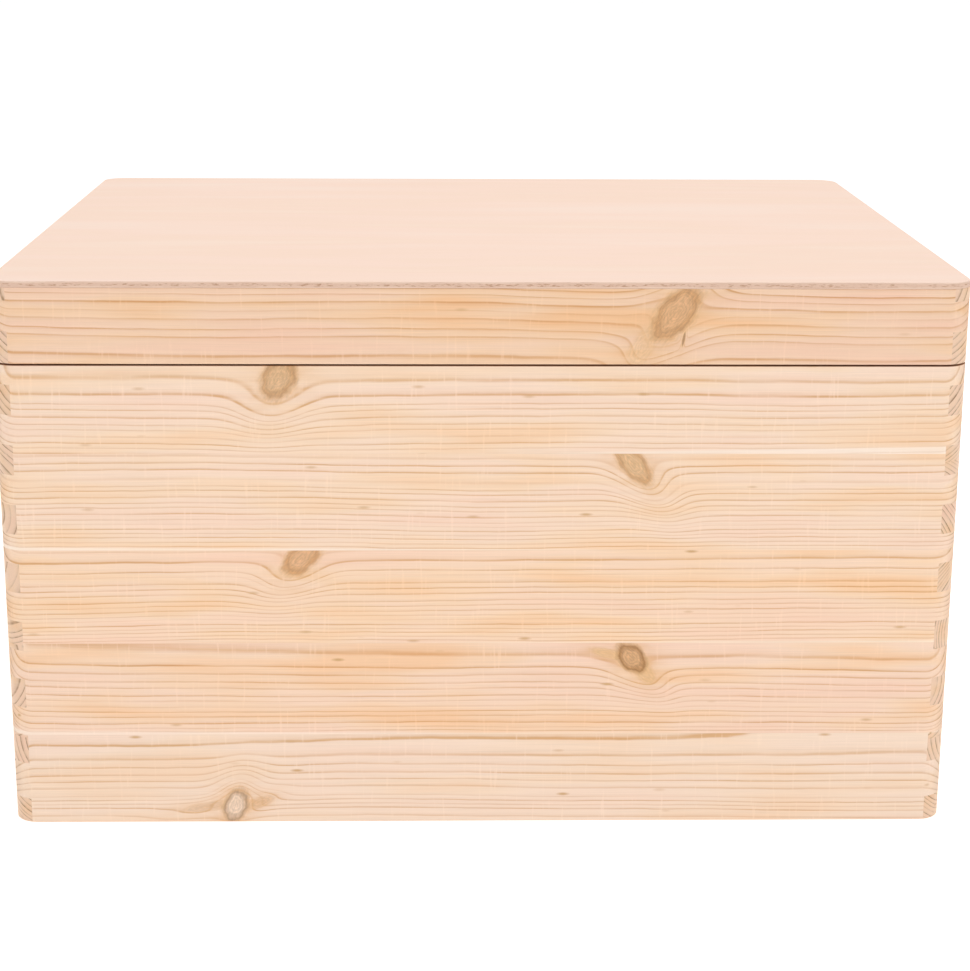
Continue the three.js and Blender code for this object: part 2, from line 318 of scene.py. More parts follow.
def growth_rings(tree, board, grain, heart, ring, seed, drift, phase, slow):
    """How dark the wood is in its ring: 0 in early wood, and about 1 in the darkest lines."""
    # The rings wander slowly along the board, over about 260 mm, 50 mm and 13 mm.
    for length, width, depth in ((260, 70, 8), (50, 25, 1.4), (13, 8, 0.5)):
        spread = node(tree, "VectorMath", {
            0: board, 1: (1 / length, 1 / width, 1 / width), 2: (seed, seed * 0.7, 0),
        }, operation="MULTIPLY_ADD")
        wander = node(tree, "TexNoise", {"Vector": spread, "Scale": 1, "Detail": 1})
        grain = node(tree, "VectorMath", {
            0: wander.outputs["Color"], 1: (0, 0.5 * depth, depth), 2: grain,
        }, operation="MULTIPLY_ADD")

    # They lie about the heart, and grow narrower outwards. Their widths vary over 8 mm.
    about_heart = node(tree, "Mapping", {
        "Vector": grain, "Location": (0, heart[0] + 2.5, heart[1] + 5),
        "Rotation": (0, math.radians(drift[0]), math.radians(drift[1])),
        "Scale": (endless, 1, 1),
    }, vector_type="TEXTURE")
    radius = node(tree, "VectorMath", {0: about_heart}, operation="LENGTH").outputs["Value"]
    slowing = node(tree, "Math", {0: radius, 1: 0.5 / slow, 2: 1}, operation="MULTIPLY_ADD")
    even_age = node(tree, "Math", {0: radius, 1: slowing}, operation="MULTIPLY")
    outwards = node(tree, "Math", {0: radius, 1: 1 / 8, 2: seed}, operation="MULTIPLY_ADD")
    years = node(tree, "TexNoise", {
        "W": outwards, "Scale": 1, "Detail": 0,
    }, noise_dimensions="1D")
    uneven = node(tree, "Math", {0: years, 1: phase}, operation="ADD")
    age = node(tree, "Math", {0: even_age, 1: 1 / ring, 2: uneven}, operation="MULTIPLY_ADD")

    # Each year pales at once and darkens slowly to its late wood, in some years more.
    season = node(tree, "Math", {0: age}, operation="FRACT")
    line = node(tree, "ValToRGB", {"Fac": season}, stops=(
        (0, 0.25), (0.05, 0), (0.55, 0.05), (0.78, 0.30), (0.90, 1), (0.96, 0.9), (1, 0.25),
    ))
    year = node(tree, "Math", {0: age}, operation="FLOOR")
    chance = node(tree, "TexWhiteNoise", {"W": year}, noise_dimensions="1D")
    weight = node(tree, "MapRange", {
        "Value": chance.outputs["Value"], "To Min": 0.28, "To Max": 1.05,
    })
    late = node(tree, "Math", {0: line, 1: weight}, operation="MULTIPLY")

    # A line is stronger in one place than another, over about 70 mm.
    spread = node(tree, "VectorMath", {
        0: board, 1: (1 / 70, 1 / 5, 1 / 3.5),
    }, operation="MULTIPLY")
    flow = node(tree, "TexNoise", {"Vector": spread, "Scale": 1, "Detail": 2})
    strength = node(tree, "MapRange", {
        "Value": flow, "From Min": 0.3, "From Max": 0.7, "To Min": 0.55, "To Max": 1.3,
    })
    return node(tree, "Math", {0: late, 1: strength}, operation="MULTIPLY")


def paint_knot(tree, board, wood, branch, own, near, seed):
    """A branch cut across: golden wood about it, and its fine rings in a ragged rim."""
    # Resin has spread along the grain, in streaks 22 mm long and 4 mm high.
    spread = node(tree, "VectorMath", {
        0: board, 1: (1 / 22, 1 / 4, 1 / 4), 2: (0, 0, seed),
    }, operation="MULTIPLY_ADD")
    flare = node(tree, "TexNoise", {
        "Vector": spread, "Scale": 1, "Detail": 3, "Roughness": 0.6,
    })
    flare = node(tree, "MapRange", {
        "Value": flare, "From Min": 0.40, "From Max": 0.66, "To Min": 0.25, "To Max": 1,
    })
    glow = node(tree, "Math", {0: near, 1: flare}, operation="MULTIPLY")
    glow = node(tree, "Math", {0: glow, 1: 0.85 * branch["depth"]}, operation="MULTIPLY")
    wood = node(tree, "MixRGB", {"Fac": glow, "Color1": wood, "Color2": colour("#E3B585")})

    # The rim is ragged over about 6 mm.
    spread = node(tree, "VectorMath", {0: board, 1: (0, 0, seed)}, operation="ADD")
    rough = node(tree, "TexNoise", {"Vector": spread, "Scale": 0.16, "Detail": 4})
    ragged = node(tree, "VectorMath", {
        0: rough.outputs["Color"], 1: (0.55, 0, 0.55), 2: (-0.275, 0, -0.275),
    }, operation="MULTIPLY_ADD")
    ragged = node(tree, "VectorMath", {0: ragged, 1: own}, operation="ADD")
    distance = node(tree, "VectorMath", {0: ragged}, operation="LENGTH").outputs["Value"]
    outwards = node(tree, "Math", {0: distance, 1: 0.8}, operation="MULTIPLY")
    hue = node(tree, "ValToRGB", {"Fac": outwards}, stops=(
        (0, branch["core"]), (0.38, branch["core"]), (0.66, branch["rim"]),
        (0.86, "#DFB382"), (1, "#EFC99C"),
    ))

    # Its own rings are 2.3 mm apart, and broken by fibres along its length.
    spread = node(tree, "VectorMath", {0: own, 1: (2.2, 0, 8)}, operation="MULTIPLY")
    swirl = node(tree, "TexNoise", {
        "Vector": spread, "Scale": 1, "Detail": 5, "Roughness": 0.8,
    })
    bend = node(tree, "Math", {0: swirl, 1: 4}, operation="MULTIPLY")
    size = math.sqrt(branch["size"][0] * branch["size"][1])
    turns = node(tree, "Math", {
        0: distance, 1: size * 2 * math.pi / 2.3, 2: bend,
    }, operation="MULTIPLY_ADD")
    turns = node(tree, "Math", {0: turns}, operation="SINE")
    rings = node(tree, "MapRange", {
        "Value": turns, "From Min": -1, "From Max": 1, "To Min": 0.91, "To Max": 1.05,
    })
    fibres = node(tree, "MapRange", {
        "Value": swirl, "From Min": 0.3, "From Max": 0.7, "To Min": 0.70, "To Max": 1.26,
    })
    shade = node(tree, "Math", {0: rings, 1: fibres}, operation="MULTIPLY")
    hue = node(tree, "VectorMath", {0: hue, "Scale": shade}, operation="SCALE")
    inside = node(tree, "MapRange", {
        "Value": distance, "From Min": 1.35, "From Max": 0.7,
        "To Min": 0, "To Max": branch["depth"],
    }, interpolation_type="SMOOTHSTEP")
    return node(tree, "MixRGB", {"Fac": inside, "Color1": wood, "Color2": hue})


def pine(name, cad_node, heart, ring, seed, drift=(0, 0), phase=0, slow=60, warmth=0.5,
         tint="#FFFFFF", pale=(0, 0), knots=()):
    """Raw sanded pine: pale pink and gold, matt, with brown lines that its rings and knots set.

    heart is where the tree's centre lies from the board's own, across its thickness and up,
    ring is the width of the first years' growth, and pale is the height of a strip of paler
    sapwood along the lower edge at each end, all in mm. phase shifts the rings, in years,
    and slow is the radius in mm at which their width has halved."""
    material, tree = new_material(name)
    low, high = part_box(cad_node)
    sideways = high.y - low.y > high.x - low.x
    centre = (low + high) / 2 / MM
    half = (high - low) / 2 / MM
    reach = half.y if sideways else half.x
    turned = Vector((centre.y, -centre.x, centre.z)) if sideways else centre
    place = node(tree, "TexCoord")
    board = node(tree, "Mapping", {
        "Vector": place.outputs["Object"], "Location": -turned, "Scale": (1 / MM,) * 3,
        "Rotation": (0, 0, -math.pi / 2 if sideways else 0),
    })
    grain, branches = bent_round(tree, board, knots)
    late = growth_rings(tree, board, grain, heart, ring, seed, drift, phase, slow)

    # The planer's marks, 2.4 mm wide and 26 mm high, wear the lines down here and there.
    spread = node(tree, "VectorMath", {
        0: board, 1: (1 / 2.4, 0.01, 1 / 26), 2: (seed, 0, seed),
    }, operation="MULTIPLY_ADD")
    chatter = node(tree, "TexNoise", {"Vector": spread, "Scale": 1, "Detail": 2})
    mark = node(tree, "MapRange", {
        "Value": chatter, "From Min": 0.57, "From Max": 0.74,
    }, interpolation_type="SMOOTHSTEP")
    worn = node(tree, "Math", {0: mark, 1: -0.38, 2: 1}, operation="MULTIPLY_ADD")
    late = node(tree, "Math", {0: late, 1: worn}, operation="MULTIPLY")

    # Sawn ends are duller than the faces and show the rings darker. The round corner cuts the
    # side boards' fingers across, so they read as end grain from a flatter angle.
    facing = node(tree, "VectorMath", {
        0: place.outputs["Normal"], 1: (0, 1, 0) if sideways else (1, 0, 0),
    }, operation="DOT_PRODUCT").outputs["Value"]
    facing = node(tree, "Math", {0: facing}, operation="ABSOLUTE")
    sawn = node(tree, "MapRange", {
        "Value": facing, "From Min": 0.25 if sideways else 0.55,
        "From Max": 0.7 if sideways else 0.98,
    })
    early_wood = node(tree, "MixRGB", {
        "Fac": sawn, "Color1": colour("#F7E0CB"), "Color2": colour("#ECCFB5"),
    })
    late_wood = node(tree, "MixRGB", {
        "Fac": sawn, "Color1": colour("#DBB083"), "Color2": colour("#9A7A5C"),
    })
    wood = node(tree, "MixRGB", {"Fac": late, "Color1": early_wood, "Color2": late_wood})

    # Pink and golden patches, about 150 mm along and 18 mm across.
    spread = node(tree, "VectorMath", {
        0: board, 1: (1 / 150, 1 / 18, 1 / 18), 2: (seed * 1.3, 0, seed),
    }, operation="MULTIPLY_ADD")
    patch = node(tree, "TexNoise", {"Vector": spread, "Scale": 1, "Detail": 2})
    tone = node(tree, "ValToRGB", {"Fac": patch}, stops=(
        (0.30, "#FFF0EE"), (0.48, "#FFF7F3"), (0.56, "#FFF4E6"), (0.70, "#FFE6C6"),
    ))
    wood = node(tree, "MixRGB", {
        "Fac": 0.35 + 0.65 * warmth, "Color1": wood, "Color2": tone,
    }, blend_type="MULTIPLY")

    # Pale sapwood along the lower edge.
    if max(pale) > 0:
        axes = node(tree, "SeparateXYZ", {0: board})
        strip = node(tree, "MapRange", {
            "Value": axes.outputs["X"], "From Min": -reach, "From Max": reach,
            "To Min": pale[0] - half.z, "To Max": pale[1] - half.z,
        })
        under = node(tree, "Math", {0: strip, 1: axes.outputs["Z"]}, operation="SUBTRACT")
        edge = node(tree, "MapRange", {
            "Value": under, "From Min": -0.6, "From Max": 0.8, "To Max": 0.6,
        })
        wood = node(tree, "MixRGB", {
            "Fac": edge, "Color1": wood, "Color2": colour("#FFF0E2"),
        })
    wood = node(tree, "MixRGB", {
        "Fac": 1, "Color1": wood, "Color2": colour(tint),
    }, blend_type="MULTIPLY")

    # Faces lying flat, the case's rim and the rails' undersides where the lid and the case meet,
    # are painted darker: painted shade that darkens the seam between them.
    level = node(tree, "SeparateXYZ", {0: place.outputs["Normal"]}).outputs["Z"]
    level = node(tree, "Math", {0: level}, operation="ABSOLUTE")
    seam_shade = node(tree, "MapRange", {"Value": level, "From Min": 0.93, "From Max": 1})
    wood = node(tree, "MixRGB", {
        "Fac": seam_shade, "Color1": wood, "Color2": colour("#DAC6B4"),
    }, blend_type="MULTIPLY")

    # Fibres about 0.7 mm wide and 50 mm long.
    spread = node(tree, "VectorMath", {
        0: board, 1: (1 / 50, 1 / 0.9, 1 / 0.7),
    }, operation="MULTIPLY")
    fibre = node(tree, "TexNoise", {
        "Vector": spread, "Scale": 1, "Detail": 3, "Roughness": 0.65,
    })
    streak = node(tree, "MapRange", {
        "Value": fibre, "From Min": 0.25, "From Max": 0.75, "To Min": 0.945, "To Max": 1.045,
    })
    streak = node(tree, "Math", {0: mark, 1: 0.03, 2: streak}, operation="MULTIPLY_ADD")
    wood = node(tree, "VectorMath", {0: wood, "Scale": streak}, operation="SCALE")

    # Resin specks about 5 mm long and 1 mm high, a few to a hand's breadth.
    spread = node(tree, "VectorMath", {
        0: board, 1: (1 / 34, 1 / 9, 1 / 9), 2: (seed, 0, seed * 2),
    }, operation="MULTIPLY_ADD")
    cells = node(tree, "TexVoronoi", {"Vector": spread, "Scale": 1})
    speck = node(tree, "MapRange", {
        "Value": cells.outputs["Distance"], "From Min": 0.15, "From Max": 0.04,
    })
    rare = node(tree, "SeparateColor", {0: cells.outputs["Color"]})
    rare = node(tree, "MapRange", {
        "Value": rare, "From Min": 0.72, "From Max": 0.95, "To Max": 0.9,
    })
    speck = node(tree, "Math", {0: speck, 1: rare}, operation="MULTIPLY")
    wood = node(tree, "MixRGB", {"Fac": speck, "Color1": wood, "Color2": colour("#CFA473")})
    for branch, own, near in branches:
        wood = paint_knot(tree, board, wood, branch, own, near, seed)

    relief = node(tree, "Math", {0: fibre, 1: 0.5, 2: late}, operation="MULTIPLY_ADD")
    bump = node(tree, "Bump", {"Height": relief, "Strength": 0.25, "Distance": 0.12 * MM})
    gloss = node(tree, "MapRange", {"Value": late, "To Min": 0.70, "To Max": 0.52})
    surface = node(tree, "BsdfPrincipled", {
        "Base Color": wood, "Roughness": gloss, "IOR": 1.5, "Specular IOR Level": 0.3,
        "Normal": bump,
    })
    node(tree, "OutputMaterial", {"Surface": surface})
    return material


# The front's boards from the rim down. The heart lay in front of all but the lowest. Thin
# knots beside a large one are the resin that has spread from it.
front_timber = [
    dict(heart=(-32, 31), ring=6.2, seed=1.0, drift=(-0.5, 0.3), phase=-0.5, warmth=0.4,
         pale=(-5, 5), knots=[
             knot((-124, 19.5), (14.5, 10.5), 60, 8, core="#D9B084", rim="#C0905F"),
         ]),
    dict(heart=(-8, 39), ring=8.5, seed=2.0, drift=(0, 0.3), phase=0.1, slow=28, warmth=0.5,
         pale=(2.4, -1), knots=[
             knot((94, 24.5), (17, 7.5), -50, 7, core="#DDB486", rim="#C89664"),
         ]),
    dict(heart=(-10, 38), ring=8.5, seed=3.1, drift=(-0.2, -0.3), phase=0.2, slow=28, warmth=0.6,
         pale=(-1, 1.4), tint="#FFFCF8", knots=[
             knot((-112, 25.4), (15, 8.5), 42, 6, core="#DCAC7F", rim="#C8935F"),
         ]),
    dict(heart=(-30, 33), ring=6.0, seed=4.6, drift=(0.2, 0.3), phase=0.1, warmth=0.6,
         pale=(2.6, -1), tint="#FDFAF9", knots=[
             knot((81, 23.3), (12, 3.2), -14, core="#E6BE88", rim="#E6BE88", depth=0.55),
             knot((104, 11.3), (10, 5), -48, core="#E3B880", rim="#E3B880", depth=0.6),
             knot((96, 20.3), (12, 8.2), -48, 4, core="#D4A679", rim="#A67747", depth=0.95),
         ]),
    dict(heart=(26, 34), ring=6.6, seed=5.4, drift=(0.3, 0.2), warmth=0.03, tint="#FCFDFF",
         knots=[
             knot((-174, -19.6), (17, 3.2), 10, core="#DDB793", rim="#E2BF9C", depth=0.55),
             knot((-141, -16.6), (9, 3.6), 22, core="#DDB287", rim="#DFB68C", depth=0.6),
             knot((-157, -18.6), (12.5, 8), 72, -6, core="#ECD3BC", rim="#B4906F"),
         ]),
]

chances = random.Random(7)


def some_timber(count, width):
    """Boards nobody chose: a heart in front or behind, and a knot in about half of them."""
    boards = []
    for _ in range(count):
        knots = []
        if chances.random() < 0.55:
            knots.append(knot(
                (chances.uniform(-0.42, 0.42) * width, chances.uniform(-18, 18)),
                (chances.uniform(9, 15), chances.uniform(7, 10)), chances.uniform(-70, 70),
                chances.uniform(-5, 5), depth=chances.uniform(0.75, 0.95),
            ))
        boards.append(dict(
            heart=(chances.choice((-1, 1)) * chances.uniform(25, 50), chances.uniform(-45, 45)),
            ring=chances.uniform(5, 7), seed=chances.uniform(0, 40),
            drift=(chances.uniform(-0.5, 0.5), chances.uniform(-0.5, 0.5)),
            warmth=chances.uniform(0.3, 0.7), knots=knots,
        ))
    return boards


# The side boards' hearts set which way the rings slope in their ends at the front corners.
left_timber = [
    dict(heart=(-38, 38), ring=7.5, seed=14.1, warmth=0.5),
    dict(heart=(22, -6), ring=6.5, seed=17.3, warmth=0.4),
    dict(heart=(22, 26), ring=8.0, seed=21.9, warmth=0.5),
    dict(heart=(36, 20), ring=7.0, seed=23.2, warmth=0.5),
    dict(heart=(-35, 33), ring=6.0, seed=27.7, warmth=0.5),
]
right_timber = [
    dict(heart=(55, 55), ring=7.0, seed=31.4, warmth=0.4),
    dict(heart=(42, -37), ring=4.5, seed=33.8, warmth=0.6),
    dict(heart=(-42, -22), ring=4.0, seed=36.5, warmth=0.5),
    dict(heart=(26, 8), ring=6.5, seed=38.6, warmth=0.5),
    dict(heart=(-35, 31), ring=5.5, seed=41.2, warmth=0.4),
]
for board in (left_timber[0], left_timber[3], right_timber[2]):
    board["knots"] = some_timber(1, 300)[0]["knots"]

width_mm = 2 * half_width / MM
timber = {
    "front": front_timber,
    "back": some_timber(5, width_mm),
    "left": left_timber,
    "right": right_timber,
}

side_spans = case_side_fingers()
front_spans = heights_between(side_spans, 0, rim)
case_outside = envelope("case_outside", 0, rim, edge_ease)

# The floor's tongues stand in a groove round the inside, with half a millimetre to spare.
floor_low, floor_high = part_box("bottom_panel")
floor_reach = floor_high.x - (half_width - wall)


def tongued_panel(name, reach):
    """A panel between the walls, with a tongue along each side but none at the corners."""
    low, high = sheet_low + Vector((wall, wall, 0)), sheet_high - Vector((wall, wall, 0))
    low.z, high.z = floor_low.z, floor_high.z
    made = block(name, low, high)
    for slide in ((-reach, 0, 0), (reach, 0, 0), (0, -reach, 0), (0, reach, 0)):
        way = Vector(slide).normalized()
        faces = [face.index for face in made.data.polygons if face.normal.dot(way) > 0.9]
        widest = max(faces, key=lambda i: made.data.polygons[i].area)
        edit(made, lambda face: face.index == widest)
        bpy.ops.mesh.extrude_region_move(TRANSFORM_OT_translate={"value": slide})
        bpy.ops.object.mode_set(mode="OBJECT")
    return made


groove = tongued_panel("groove", 6 * MM)

# Hand holes: slots with round ends through the side walls, their edges rounded over.
hand_length, hand_height, hand_drop, round_over = 100 * MM, 28 * MM, 89 * MM, 3 * MM
hand_middle = Vector((0, middle_y, rim - hand_drop))
hand_reach = Vector((half_width + 50 * MM, hand_length / 2, hand_height / 2))
hand_low, hand_high = hand_middle - hand_reach, hand_middle + hand_reach
hand_hole = block("hand_hole", hand_low, hand_high)
edit(hand_hole, lambda edge: abs(ends(hand_hole, edge)[0].x - ends(hand_hole, edge)[1].x) > wall,
     "EDGE")
bpy.ops.mesh.bevel(offset=hand_height / 2 - 0.01 * MM, segments=16, affect="EDGES")
bpy.ops.object.mode_set(mode="OBJECT")


def on_hand_hole_rim(piece, edge):
    """An edge of the hand hole on a face of the wall."""
    a, b = ends(piece, edge)
    return abs(a.x - b.x) < 1e-6 and all(
        hand_low.y - 1e-5 < p.y < hand_high.y + 1e-5
        and hand_low.z - 1e-5 < p.z < hand_high.z + 1e-5 for p in (a, b))


pilot_radius, pilot_slack = 1.7 * MM, 0.3 * MM


def drill(piece, screws):
    """Pilot holes for screws, along the longest side of each one's box."""
    for screw_name in screws:
        a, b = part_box(screw_name)
        size = b - a
        longest = max(range(3), key=lambda i: size[i])
        middle, reach = (a + b) / 2, Vector()
        reach[longest] = size[longest] / 2 + pilot_slack
        deselect_all()
        bpy.ops.mesh.primitive_cylinder_add(
            vertices=24, radius=pilot_radius, depth=2 * reach.length, location=middle,
            rotation=reach.to_track_quat("Z", "Y").to_euler())
        bpy.ops.object.transform_apply(location=True, rotation=True, scale=True)
        apply_cut(piece, bpy.context.object, discard=True)


def leaf_screws(part):
    """The screws in both hinges' leaves on the case or on the lid."""
    return [f"{hand}_hinge_{part}_leaf_screw_{i}" for hand in ("left", "right") for i in (1, 2, 3)]


lid_leaf_screws = leaf_screws("lid")
pilots = {("back", 1): leaf_screws("case"), ("right", 1): ["stay_guide_screw"]}
for side, boards in timber.items():
    for number, figure in enumerate(boards, 1):
        cad_name = f"{side}_board_{number}"
        spans = side_spans if side in ("left", "right") else front_spans
        piece = jointed_board(f"{side}_pine_{number}", cad_name, spans, case_outside)
        if number == len(boards):
            apply_cut(piece, groove)
        if number == 2 and side in ("left", "right"):
            apply_cut(piece, hand_hole)
            edit(piece, lambda edge: on_hand_hole_rim(piece, edge), "EDGE")
            bpy.ops.mesh.bevel(offset=round_over, segments=5, affect="EDGES")
            bpy.ops.object.mode_set(mode="OBJECT")
        drill(piece, pilots.get((side, number), []))
        finish_board(piece)
        piece.data.materials.clear()
        piece.data.materials.append(pine(f"sanded_pine_{side}_{number}", cad_name, **figure))
        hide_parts(cad_name)
        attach(piece, "case")

for cutter in (case_outside, groove, hand_hole):
    bpy.data.objects.remove(cutter)

# ---- Lid rails -------------------------------------------------------------------------
# Four pine rails, finger jointed like the case and one board high, close over its rim.

rail_low, rail_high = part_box("lid_front_rail")
rail_side_finger, rail_front_finger = 20 * MM, 18.9 * MM
rail_sides = [
    (rail_low.z, rail_low.z + rail_side_finger),
    (rail_low.z + rail_side_finger + rail_front_finger, rail_high.z),
]
rail_fronts = heights_between(rail_sides, rail_low.z, rail_high.z)
rail_timber = {
    "front": dict(
        heart=(34, -50), ring=9.0, seed=9.2, drift=(0.9, -0.5), warmth=0.8, tint="#FAF3EC",
        knots=[
            knot((98, -12.5), (12, 6.5), 58, core="#EDC598", rim="#EDC598", depth=0.5),
            knot((118, 8.5), (21, 11), 52, 2, core="#DCAD80", rim="#C79666", depth=0.9),
            knot((123, -7.5), (5, 0.8), 80, core="#A67C52", rim="#B0865C", depth=0.75),
        ]),
    "back": some_timber(1, width_mm)[0],
    "left": dict(heart=(-35, 30), ring=7, seed=11.5, warmth=0.5),
    "right": dict(heart=(40, 35), ring=7, seed=12.5, warmth=0.5),
}
lid_outside = envelope("lid_outside", rail_low.z, rail_high.z, edge_ease)
for side, figure in rail_timber.items():
    cad_name = f"lid_{side}_rail"
    spans = rail_sides if side in ("left", "right") else rail_fronts
    piece = jointed_board(f"lid_{side}_pine", cad_name, spans, lid_outside)
    drill(piece, {"back": lid_leaf_screws, "right": ["stay_pivot_screw"]}.get(side, []))
    finish_board(piece)
    piece.data.materials.clear()
    piece.data.materials.append(pine(f"sanded_pine_lid_{side}", cad_name, **figure))
    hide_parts(cad_name)
    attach(piece, "lid")
bpy.data.objects.remove(lid_outside)

# ---- Plywood lid sheet and floor -------------------------------------------------------
# Two three-ply panels. The sheet is glued on the rails and sanded flush with them, so its
# three plies show all round. The floor's edges are let into the groove in the walls.


def plywood(name, cad_node, face, edge, seed):
    """Poplar three-ply: a pale matt rotary-cut face, almost without lines, on a crossed core."""
    material, tree = new_material(name)
    low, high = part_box(cad_node)
    thickness = (high.z - low.z) / MM
    place = node(tree, "TexCoord")
    sheet = node(tree, "Mapping", {
        "Vector": place.outputs["Object"], "Location": (0, 0, -low.z / MM),
        "Scale": (1 / MM,) * 3,
    })

    # The cloudy figure is a hand across. Fibres are 80 mm long and 1 mm wide, the core's dark
    # dashes 4 mm long, and the other plies' edges are streaked over 30 mm.
    patterns = {}
    for pattern, scale, roughness in (
        ("figure", (1 / 340, 1 / 45, 0), 0.5), ("fibre", (1 / 80, 1 / 1.1, 1 / 1.1), 0.6),
        ("dashes", (1 / 4, 1 / 4, 1 / 0.7), 0.65), ("streaks", (1 / 30, 1 / 30, 1 / 0.6), 0.5),
    ):
        spread = node(tree, "VectorMath", {
            0: sheet, 1: scale, 2: (seed, seed, 0),
        }, operation="MULTIPLY_ADD")
        patterns[pattern] = node(tree, "TexNoise", {
            "Vector": spread, "Scale": 1, "Detail": 3, "Roughness": roughness,
        })

    # The face veneer.
    figure = node(tree, "ValToRGB", {"Fac": patterns["figure"]}, stops=(
        (0.30, "#FFFAF6"), (0.48, "#FFF6F0"), (0.56, "#FEF5ED"), (0.72, "#FFF9F3"),
    ))
    veneer = node(tree, "MixRGB", {
        "Fac": 1, "Color1": colour(face), "Color2": figure,
    }, blend_type="MULTIPLY")
    streak = node(tree, "MapRange", {
        "Value": patterns["fibre"], "From Min": 0.25, "From Max": 0.75,
        "To Min": 0.985, "To Max": 1.012,
    })
    veneer = node(tree, "VectorMath", {0: veneer, "Scale": streak}, operation="SCALE")

    # The cut edge: plies a third of the thickness each, the core's end grain in dark dashes.
    up = node(tree, "SeparateXYZ", {0: sheet}).outputs["Z"]
    level = node(tree, "Math", {0: up, 1: thickness}, operation="DIVIDE")
    core = node(tree, "ValToRGB", {"Fac": level}, stops=(
        (0.22, 0.0), (0.32, 1.0), (0.68, 1.0), (0.78, 0.0),
    ))
    dashes = node(tree, "ValToRGB", {"Fac": patterns["dashes"]}, stops=(
        (0.38, "#F1E4DC"), (0.50, "#F7EDE6"), (0.60, "#D6BFAE"), (0.72, "#BFA48F"),
    ))
    long_grain = node(tree, "ValToRGB", {"Fac": patterns["streaks"]}, stops=(
        (0.35, "#EFE2DA"), (0.65, "#FFFBF7"),
    ))
    plies = node(tree, "MixRGB", {"Fac": core, "Color1": long_grain, "Color2": dashes})
    sawn = node(tree, "MixRGB", {
        "Fac": 1, "Color1": colour(edge), "Color2": plies,
    }, blend_type="MULTIPLY")
    facing = node(tree, "SeparateXYZ", {0: place.outputs["Normal"]}).outputs["Z"]
    facing = node(tree, "Math", {0: facing}, operation="ABSOLUTE")
    flat = node(tree, "MapRange", {"Value": facing, "From Min": 0.35, "From Max": 0.9})
    wood = node(tree, "MixRGB", {"Fac": flat, "Color1": sawn, "Color2": veneer})
    bump = node(tree, "Bump", {
        "Height": patterns["fibre"], "Strength": 0.15, "Distance": 0.08 * MM,
    })
    surface = node(tree, "BsdfPrincipled", {
        "Base Color": wood, "Roughness": 0.58, "IOR": 1.5, "Specular IOR Level": 0.3,
        "Normal": bump,
    })
    node(tree, "OutputMaterial", {"Surface": surface})
    return material


top_sheet = envelope("lid_plywood", sheet_low.z, sheet_high.z, 0.45 * MM)
finish_board(top_sheet)
top_sheet.data.materials.append(plywood("poplar_three_ply_lid", "lid_top_panel",
                                        "#FBE6D9", "#E9D0BF", 2.0))
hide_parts("lid_top_panel")
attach(top_sheet, "lid")

floor_panel = tongued_panel("case_floor", floor_reach)
floor_panel.data.materials.append(plywood("poplar_three_ply_floor", "bottom_panel",
                                          "#F6DFCC", "#E3C8B2", 8.0))
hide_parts("bottom_panel")
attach(floor_panel, "case")

# ---- Butt hinges -----------------------------------------------------------------------
# Two steel butt hinges on the back, pressed from 1.5 mm sheet with the knuckles rolled round
# a riveted pin, and zinc plated. Three countersunk screws hold each leaf.


def zinc(name, scratches):
    """Bright zinc plating on steel: a cool grey mirror, mottled and finely scratched along x."""
    material, tree = new_material(name)
    place = node(tree, "TexCoord").outputs["Object"]
    # Spangle about 4 mm across, and scratches 0.15 mm wide and 8 mm long.
    spangle = node(tree, "TexNoise", {"Vector": place, "Scale": 250, "Detail": 3})
    hue = node(tree, "ValToRGB", {"Fac": spangle}, stops=(
        (0.30, "#C3C7CB"), (0.50, "#CED0D2"), (0.70, "#D6D5D0"),
    ))
    spread = node(tree, "VectorMath", {0: place, 1: (125, 6600, 6600)}, operation="MULTIPLY")
    fine = node(tree, "TexNoise", {"Vector": spread, "Scale": 1, "Detail": 2})
    rough = node(tree, "MapRange", {
        "Value": fine, "From Min": 0.3, "From Max": 0.7,
        "To Min": 0.24, "To Max": 0.24 + scratches,
    })
    bump = node(tree, "Bump", {"Height": fine, "Strength": 0.2, "Distance": 0.02 * MM})
    surface = node(tree, "BsdfPrincipled", {
        "Base Color": hue, "Metallic": 1, "Roughness": rough, "Normal": bump,
    })
    node(tree, "OutputMaterial", {"Surface": surface})
    return material


def rod(name, start, end, radius, sides=32, end_radius=None):
    """A closed cylinder or cone between two points, with its place in its mesh."""
    deselect_all()
    start, end = Vector(start), Vector(end)
    bpy.ops.mesh.primitive_cone_add(
        vertices=sides, radius1=radius, radius2=radius if end_radius is None else end_radius,
        depth=(end - start).length, location=(start + end) / 2,
        rotation=(end - start).to_track_quat("Z", "Y").to_euler())
    bpy.ops.object.transform_apply(location=True, rotation=True, scale=True)
    made = bpy.context.object
    made.name = name
    return made


def weld(piece, *others):
    """Unites pieces with the first."""
    for other in others:
        apply_cut(piece, other, "UNION", discard=True)


def own_copy(piece, name, move):
    """A copy with its own mesh, moved in the mesh."""
    made = piece.copy()
    made.data = piece.data.copy()
    made.name = name
    bpy.context.scene.collection.objects.link(made)
    made.data.transform(Matrix.Translation(move))
    return made


def soften(piece, width, angle=35, segments=2):
    """Rounds every sharp edge a little, and shades the rest smooth."""
    deselect_all()
    piece.select_set(True)
    bpy.context.view_layer.objects.active = piece
    rounding = piece.modifiers.new("soft", "BEVEL")
    rounding.width, rounding.segments = width, segments
    rounding.limit_method, rounding.angle_limit = "ANGLE", math.radians(angle)
    bpy.ops.object.modifier_apply(modifier="soft")
    bpy.ops.object.shade_smooth_by_angle(angle=math.radians(40))


